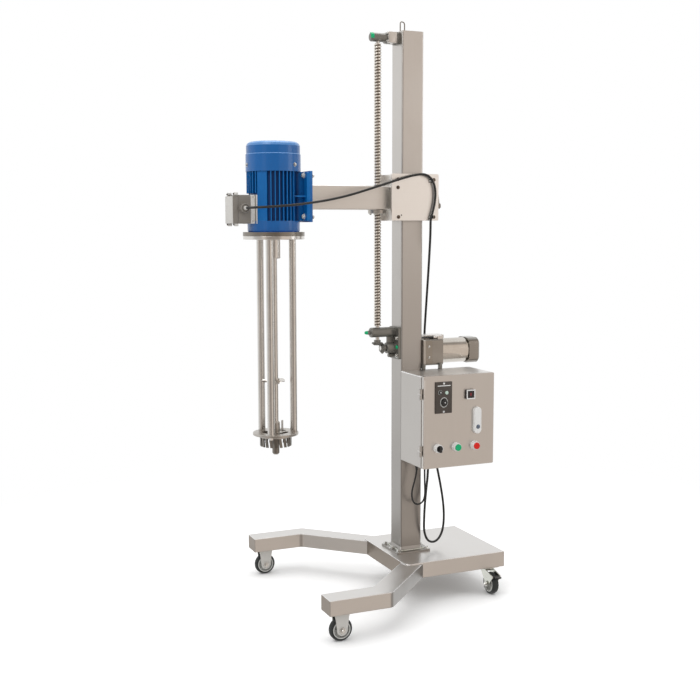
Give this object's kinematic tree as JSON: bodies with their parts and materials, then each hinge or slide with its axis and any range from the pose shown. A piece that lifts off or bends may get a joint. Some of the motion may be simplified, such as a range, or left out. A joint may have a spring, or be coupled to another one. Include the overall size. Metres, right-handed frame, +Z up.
{
  "type": "high shear mixer",
  "caption": "Mobile batch mixer: a motor with a rotor-stator head on a powered lift column, with a wheeled U-shaped base and a control cabinet.",
  "frame": {"origin": "on the floor, under the column's axis", "axes": "+Z up, -X towards the mixing head and the open end of the base, -Y towards the control box"},
  "size_m": [0.963, 0.794, 1.962],
  "materials": {
    "stainless": "brushed",
    "machined_steel": "satin machined",
    "gearmotor_metal": "satin cast",
    "motor_blue": "semi-gloss paint",
    "terminal_grey": "satin cast",
    "winding": "enamelled copper and steel sheet",
    "cast_dark": "dark cast",
    "bronze": "machined bronze",
    "black_plastic": "moulded",
    "cable_black": "matt sheath",
    "zinc": "bright zinc",
    "tyre_black": "moulded rubber",
    "panel_grey": "moulded",
    "white_plastic": "moulded",
    "green_plastic": "moulded",
    "red_plastic": "moulded"
  },
  "bodies": {
    "stand": {"base_frame": "stainless", "column": "stainless", "top_wire_hoop": "zinc", "caster_mounts": "zinc", "upper_bearing_arm": "cast_dark", "lower_bearing_bracket": "cast_dark", "screw_bearings": "bronze", "gearmotor_bracket": "machined_steel", "gearhead": "gearmotor_metal", "gearmotor_body": "gearmotor_metal", "gearmotor_terminal_box": "gearmotor_metal", "gearmotor_lead": "cable_black", "control_box": "stainless", "box_inside_panel": "panel_grey", "cable_glands": "black_plastic", "motor_cable_loop": "cable_black", "small_cable_loop": "cable_black"},
    "carriage": {"carriage_frame": "machined_steel", "guide_pads": "black_plastic", "lift_arm": "machined_steel", "screw_nut": "bronze", "motor_frame": "motor_blue", "motor_end_shield": "motor_blue", "motor_stator": "winding", "motor_bearings": "machined_steel", "fan_cover": "motor_blue", "terminal_box": "terminal_grey", "terminal_lid": "terminal_grey", "mixer_flange": "machined_steel", "support_rods": "machined_steel", "head_plate": "machined_steel", "stator_cage": "machined_steel", "motor_cable_upper": "cable_black", "motor_cable_drop": "cable_black"},
    "mixer_rotor": {"motor_rotor": "machined_steel", "cooling_fan": "black_plastic", "shaft_coupling": "machined_steel", "mixing_shaft": "machined_steel", "propeller": "machined_steel", "shear_rotor": "machined_steel"},
    "screw": {"lead_screw": "machined_steel", "screw_bevel_gear": "cast_dark"},
    "drive": {"drive_shaft": "machined_steel", "drive_bevel_gear": "cast_dark"},
    "clamp": {"clamp_lever": "panel_grey"},
    "wheel_front_near": {"front_wheel_near": "tyre_black"},
    "wheel_front_far": {"front_wheel_far": "tyre_black"},
    "swivel_near": {"swivel_fork_near": "zinc"},
    "swivel_far": {"swivel_fork_far": "zinc"},
    "wheel_rear_near": {"rear_wheel_near": "tyre_black"},
    "wheel_rear_far": {"rear_wheel_far": "tyre_black"},
    "pedal_near": {"brake_pedal_near": "black_plastic"},
    "pedal_far": {"brake_pedal_far": "black_plastic"},
    "door": {"box_door": "stainless", "door_fittings": "white_plastic"},
    "handle": {"door_handle": "white_plastic"},
    "green_button": {"green_button": "green_plastic"},
    "red_button": {"red_button": "red_plastic"},
    "selector": {"selector_knob": "black_plastic"},
    "dial": {"speed_dial": "black_plastic"}
  },
  "joints": [
    {"name": "carriage_lift", "type": "slide", "parent": "stand", "child": "carriage", "axis": [0, 0, 1], "range_m": [-0.355, 0.42], "deforming": ["motor_cable_drop"]},
    {"name": "mixer_spin", "type": "hinge", "parent": "carriage", "child": "mixer_rotor", "pos_m": [-0.484, 0, 0.8], "axis": [0, 0, 1], "continuous": true},
    {"name": "screw_turn", "type": "hinge", "parent": "stand", "child": "screw", "pos_m": [-0.112, 0, 1.4], "axis": [0, 0, 1], "range_deg": [-12781, 15121]},
    {"name": "drive_turn", "type": "hinge", "parent": "stand", "child": "drive", "pos_m": [-0.05, 0, 0.864], "axis": [1, 0, 0], "range_deg": [-15121, 12781]},
    {"name": "clamp_turn", "type": "hinge", "parent": "carriage", "child": "clamp", "pos_m": [0.08, 0, 1.35], "axis": [1, 0, 0], "range_deg": [0, 90]},
    {"name": "wheel_front_near_spin", "type": "hinge", "parent": "stand", "child": "wheel_front_near", "pos_m": [-0.405, -0.36, 0.0375], "axis": [0, 1, 0], "continuous": true},
    {"name": "wheel_front_far_spin", "type": "hinge", "parent": "stand", "child": "wheel_front_far", "pos_m": [-0.405, 0.36, 0.0375], "axis": [0, 1, 0], "continuous": true},
    {"name": "swivel_near_turn", "type": "hinge", "parent": "stand", "child": "swivel_near", "pos_m": [0.248, -0.148, 0.08], "axis": [0, 0, 1], "continuous": true},
    {"name": "swivel_far_turn", "type": "hinge", "parent": "stand", "child": "swivel_far", "pos_m": [0.248, 0.148, 0.08], "axis": [0, 0, 1], "continuous": true},
    {"name": "wheel_rear_near_spin", "type": "hinge", "parent": "swivel_near", "child": "wheel_rear_near", "pos_m": [0.248, -0.172, 0.0375], "axis": [1, 0, 0], "continuous": true},
    {"name": "wheel_rear_far_spin", "type": "hinge", "parent": "swivel_far", "child": "wheel_rear_far", "pos_m": [0.272, 0.148, 0.0375], "axis": [0, 1, 0], "continuous": true},
    {"name": "pedal_near_press", "type": "hinge", "parent": "swivel_near", "child": "pedal_near", "pos_m": [0.248, -0.204, 0.068], "axis": [1, 0, 0], "range_deg": [0, 18]},
    {"name": "pedal_far_press", "type": "hinge", "parent": "swivel_far", "child": "pedal_far", "pos_m": [0.304, 0.148, 0.068], "axis": [0, 1, 0], "range_deg": [0, 18]},
    {"name": "door_swing", "type": "hinge", "parent": "stand", "child": "door", "pos_m": [-0.0455, -0.1973, 0.63], "axis": [0, 0, -1], "range_deg": [0, 115]},
    {"name": "handle_turn", "type": "hinge", "parent": "door", "child": "handle", "pos_m": [0.163, -0.2, 0.607], "axis": [0, 1, 0], "range_deg": [0, 90]},
    {"name": "green_press", "type": "slide", "parent": "door", "child": "green_button", "axis": [0, 1, 0], "range_m": [0, 0.004], "stiffness_N_per_m": 400, "springref_m": -0.002},
    {"name": "red_press", "type": "slide", "parent": "door", "child": "red_button", "axis": [0, 1, 0], "range_m": [0, 0.004], "stiffness_N_per_m": 400, "springref_m": -0.002},
    {"name": "selector_turn", "type": "hinge", "parent": "door", "child": "selector", "pos_m": [0.0145, -0.21, 0.543], "axis": [0, 1, 0], "range_deg": [-45, 45]},
    {"name": "dial_turn", "type": "hinge", "parent": "door", "child": "dial", "pos_m": [0.036, -0.21, 0.697], "axis": [0, 1, 0], "range_deg": [0, 270]}
  ],
  "couplings": [
    {"joint": "screw_turn", "follows": "carriage_lift", "rad_per_m": 628.32},
    {"joint": "drive_turn", "follows": "carriage_lift", "rad_per_m": -628.32}
  ]
}
